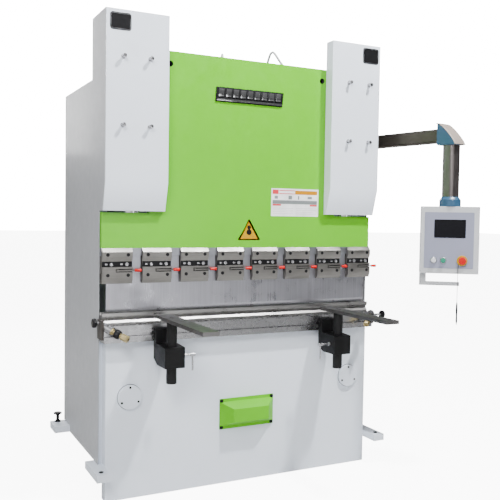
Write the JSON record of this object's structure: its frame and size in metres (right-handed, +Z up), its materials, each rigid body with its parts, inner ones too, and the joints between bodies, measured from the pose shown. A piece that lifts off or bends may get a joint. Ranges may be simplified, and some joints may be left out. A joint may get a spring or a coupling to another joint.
{
  "type": "hydraulic press brake",
  "caption": "Hydraulic press brake: a vertical ram with a row of tool clamps folds sheet over a grooved die, with front sheet supports, rear gauge and a swinging control pendant.",
  "frame": {"origin": "on the floor at mid length, under the bending line between punch and die", "axes": "+X to the operator's right along the bending line, +Y to the rear, +Z up"},
  "size_m": [1.9936, 1.402, 2.346],
  "materials": {
    "white_paint": "satin powder coat",
    "grey_paint": "satin powder coat",
    "motor_paint": "satin paint",
    "ground_steel": "ground",
    "green_paint": "gloss powder coat",
    "tool_steel": "ground and oiled",
    "teal_paint": "satin paint",
    "anodised_tube": "anodised",
    "pendant_paint": "satin powder coat",
    "screen_black": "gloss",
    "button_white": "gloss",
    "button_green": "gloss",
    "button_red": "gloss",
    "cord_black": "matte",
    "stylus_black": "matte",
    "hose_rubber": "matte",
    "chrome_rod": "polished",
    "black_paint": "satin paint",
    "dark_steel": "blackened",
    "zinc_steel": "zinc plated",
    "knob_black": "matte",
    "clamp_brass": "machined",
    "clamp_steel": "ground",
    "lever_red": "gloss"
  },
  "bodies": {
    "frame": {"bed_plate": "white_paint", "rear_tie_plate": "grey_paint", "side_frame_left": "white_paint", "side_frame_right": "white_paint", "side_cover_left": "grey_paint", "side_cover_right": "grey_paint", "cylinder_cover_left": "white_paint", "cylinder_cover_right": "white_paint", "cylinder_left": "motor_paint", "cylinder_right": "motor_paint", "hose_left": "hose_rubber", "hose_right": "hose_rubber", "oil_tank": "white_paint", "pump_motor": "motor_paint", "apron_guard": "green_paint", "table_rail": "ground_steel", "v_die": "tool_steel", "boom_bracket": "teal_paint"},
    "ram": {"ram": "green_paint", "punch": "tool_steel", "piston_rod_left": "chrome_rod", "piston_rod_right": "chrome_rod", "tool_clamp_1": "clamp_steel", "tool_clamp_2": "clamp_steel", "tool_clamp_3": "clamp_steel", "tool_clamp_4": "clamp_steel", "tool_clamp_5": "clamp_steel", "tool_clamp_6": "clamp_steel", "tool_clamp_7": "clamp_steel", "tool_clamp_8": "clamp_steel"},
    "clamp_lever_1": {"clamp_lever_1": "lever_red"},
    "clamp_lever_2": {"clamp_lever_2": "lever_red"},
    "clamp_lever_3": {"clamp_lever_3": "lever_red"},
    "clamp_lever_4": {"clamp_lever_4": "lever_red"},
    "clamp_lever_5": {"clamp_lever_5": "lever_red"},
    "clamp_lever_6": {"clamp_lever_6": "lever_red"},
    "clamp_lever_7": {"clamp_lever_7": "lever_red"},
    "clamp_lever_8": {"clamp_lever_8": "lever_red"},
    "carriage_left": {"support_carriage_left": "black_paint"},
    "arm_left": {"support_arm_left": "dark_steel"},
    "lock_screw_left": {"lock_screw_left": "zinc_steel"},
    "carriage_right": {"support_carriage_right": "black_paint"},
    "arm_right": {"support_arm_right": "dark_steel"},
    "lock_screw_right": {"lock_screw_right": "zinc_steel"},
    "boom": {"boom_tube": "anodised_tube", "boom_elbow": "teal_paint", "drop_tube": "anodised_tube"},
    "pendant": {"pendant_box": "pendant_paint", "pendant_handle": "pendant_paint", "touch_screen": "screen_black", "stylus_cord": "cord_black", "stylus": "stylus_black"},
    "reset_button": {"reset_button": "button_white"},
    "start_button": {"start_button": "button_green"},
    "estop_knob": {"estop_knob": "button_red"},
    "end_knob_left": {"end_knob_left": "knob_black"},
    "end_knob_right": {"end_knob_right": "knob_black"},
    "clamp_screw_left": {"clamp_screw_left": "clamp_brass"},
    "clamp_screw_right": {"clamp_screw_right": "clamp_brass"},
    "back_gauge": {"back_gauge": "ground_steel"}
  },
  "joints": [
    {"name": "ram_slide", "type": "slide", "parent": "frame", "child": "ram", "axis": [0, 0, 1], "range_m": [0, 0.1]},
    {"name": "clamp_lever_1_swing", "type": "hinge", "parent": "ram", "child": "clamp_lever_1", "pos_m": [-0.699, -0.031, 1.121], "axis": [0, 0, -1], "range_deg": [0, 90]},
    {"name": "clamp_lever_2_swing", "type": "hinge", "parent": "ram", "child": "clamp_lever_2", "pos_m": [-0.499, -0.031, 1.121], "axis": [0, 0, -1], "range_deg": [0, 90]},
    {"name": "clamp_lever_3_swing", "type": "hinge", "parent": "ram", "child": "clamp_lever_3", "pos_m": [-0.299, -0.031, 1.121], "axis": [0, 0, -1], "range_deg": [0, 90]},
    {"name": "clamp_lever_4_swing", "type": "hinge", "parent": "ram", "child": "clamp_lever_4", "pos_m": [-0.099, -0.031, 1.121], "axis": [0, 0, -1], "range_deg": [0, 90]},
    {"name": "clamp_lever_5_swing", "type": "hinge", "parent": "ram", "child": "clamp_lever_5", "pos_m": [0.101, -0.031, 1.121], "axis": [0, 0, -1], "range_deg": [0, 90]},
    {"name": "clamp_lever_6_swing", "type": "hinge", "parent": "ram", "child": "clamp_lever_6", "pos_m": [0.301, -0.031, 1.121], "axis": [0, 0, -1], "range_deg": [0, 90]},
    {"name": "clamp_lever_7_swing", "type": "hinge", "parent": "ram", "child": "clamp_lever_7", "pos_m": [0.501, -0.031, 1.121], "axis": [0, 0, -1], "range_deg": [0, 90]},
    {"name": "clamp_lever_8_swing", "type": "hinge", "parent": "ram", "child": "clamp_lever_8", "pos_m": [0.701, -0.031, 1.121], "axis": [0, 0, -1], "range_deg": [0, 90]},
    {"name": "carriage_left_slide", "type": "slide", "parent": "frame", "child": "carriage_left", "axis": [1, 0, 0], "range_m": [-0.13, 0.33]},
    {"name": "arm_left_height", "type": "slide", "parent": "carriage_left", "child": "arm_left", "axis": [0, 0, 1], "range_m": [-0.04, 0.07]},
    {"name": "lock_screw_left_turn", "type": "hinge", "parent": "carriage_left", "child": "lock_screw_left", "pos_m": [-0.48, -0.19, 0.722], "axis": [1, 0, 0], "range_deg": [-180, 180]},
    {"name": "carriage_right_slide", "type": "slide", "parent": "frame", "child": "carriage_right", "axis": [1, 0, 0], "range_m": [-0.31, 0.14]},
    {"name": "arm_right_height", "type": "slide", "parent": "carriage_right", "child": "arm_right", "axis": [0, 0, 1], "range_m": [-0.04, 0.07]},
    {"name": "lock_screw_right_turn", "type": "hinge", "parent": "carriage_right", "child": "lock_screw_right", "pos_m": [0.462, -0.19, 0.722], "axis": [-1, 0, 0], "range_deg": [-180, 180]},
    {"name": "boom_swing", "type": "hinge", "parent": "frame", "child": "boom", "pos_m": [0.85, 0.24, 1.837], "axis": [0, 0, 1], "range_deg": [-10, 80]},
    {"name": "pendant_turn", "type": "hinge", "parent": "boom", "child": "pendant", "pos_m": [0.98457, -0.44592, 1.4], "axis": [0, 0, 1], "range_deg": [-100, 100]},
    {"name": "reset_button_press", "type": "slide", "parent": "pendant", "child": "reset_button", "axis": [0.6157, 0.788, 0], "range_m": [0, 0.004], "stiffness_N_per_m": 500, "springref_m": -0.001},
    {"name": "start_button_press", "type": "slide", "parent": "pendant", "child": "start_button", "axis": [0.6157, 0.788, 0], "range_m": [0, 0.004], "stiffness_N_per_m": 500, "springref_m": -0.001},
    {"name": "estop_knob_press", "type": "slide", "parent": "pendant", "child": "estop_knob", "axis": [0.6157, 0.788, 0], "range_m": [0, 0.004], "stiffness_N_per_m": 900, "springref_m": -0.001},
    {"name": "end_knob_left_turn", "type": "hinge", "parent": "frame", "child": "end_knob_left", "pos_m": [-0.7873, -0.02, 0.872], "axis": [1, 0, 0], "range_deg": [-180, 180]},
    {"name": "end_knob_right_turn", "type": "hinge", "parent": "frame", "child": "end_knob_right", "pos_m": [0.7823, -0.055, 0.843], "axis": [1, 0, 0], "range_deg": [-180, 180]},
    {"name": "clamp_screw_left_turn", "type": "hinge", "parent": "frame", "child": "clamp_screw_left", "pos_m": [-0.756, -0.073, 0.847], "axis": [0.6804, -0.6203, -0.3902], "range_deg": [-180, 180]},
    {"name": "clamp_screw_right_turn", "type": "hinge", "parent": "frame", "child": "clamp_screw_right", "pos_m": [0.756, -0.073, 0.847], "axis": [-0.6804, -0.6203, -0.3902], "range_deg": [-180, 180]},
    {"name": "back_gauge_slide", "type": "slide", "parent": "frame", "child": "back_gauge", "axis": [0, 1, 0], "range_m": [-0.25, 0.12]}
  ]
}
